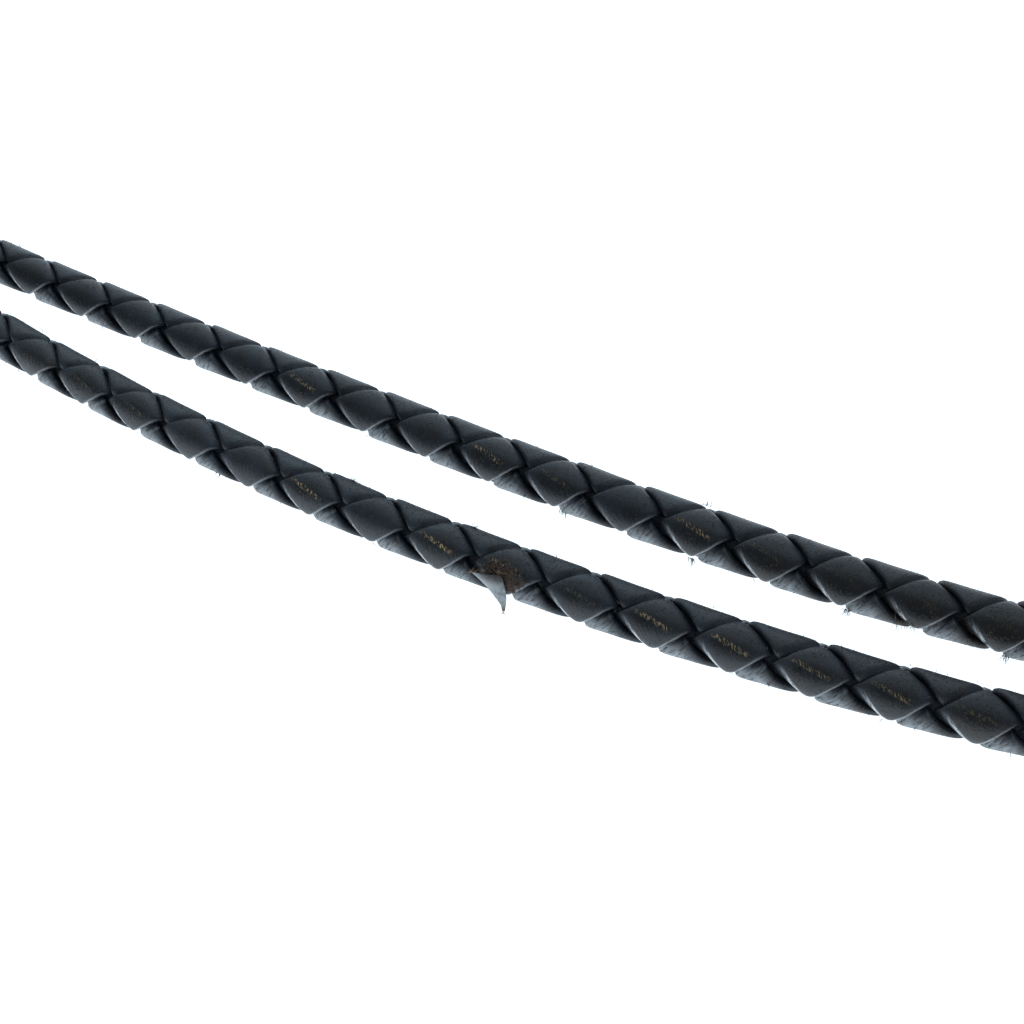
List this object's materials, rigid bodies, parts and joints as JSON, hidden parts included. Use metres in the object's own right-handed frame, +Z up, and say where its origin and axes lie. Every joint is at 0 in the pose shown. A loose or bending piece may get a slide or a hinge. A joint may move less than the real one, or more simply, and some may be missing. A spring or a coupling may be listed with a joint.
{
  "type": "bolo tie",
  "caption": "Bolo tie of round black braided leather cord, lying flat: a neck loop and two free legs through a plain oval metal slide, with tapered metal tips.",
  "frame": {"origin": "middle of the slide's flat back, on the surface that the bolo tie lies on", "axes": "+Z up from the surface, +Y from the slide along the neck loop, the free legs run along -Y, +X to the right seen from above"},
  "size_m": [0.1234, 0.4757, 0.0092],
  "materials": {
    "braided_leather": "waxed black with a soft sheen, cracked and scuffed on the crests",
    "satin_metal": "satin, plain"
  },
  "bodies": {
    "root": {"cord_neck_loop": "braided_leather", "cord_leg_right": "braided_leather", "cord_leg_left": "braided_leather", "slide": "satin_metal", "tip_right": "satin_metal", "tip_left": "satin_metal"}
  },
  "joints": []
}
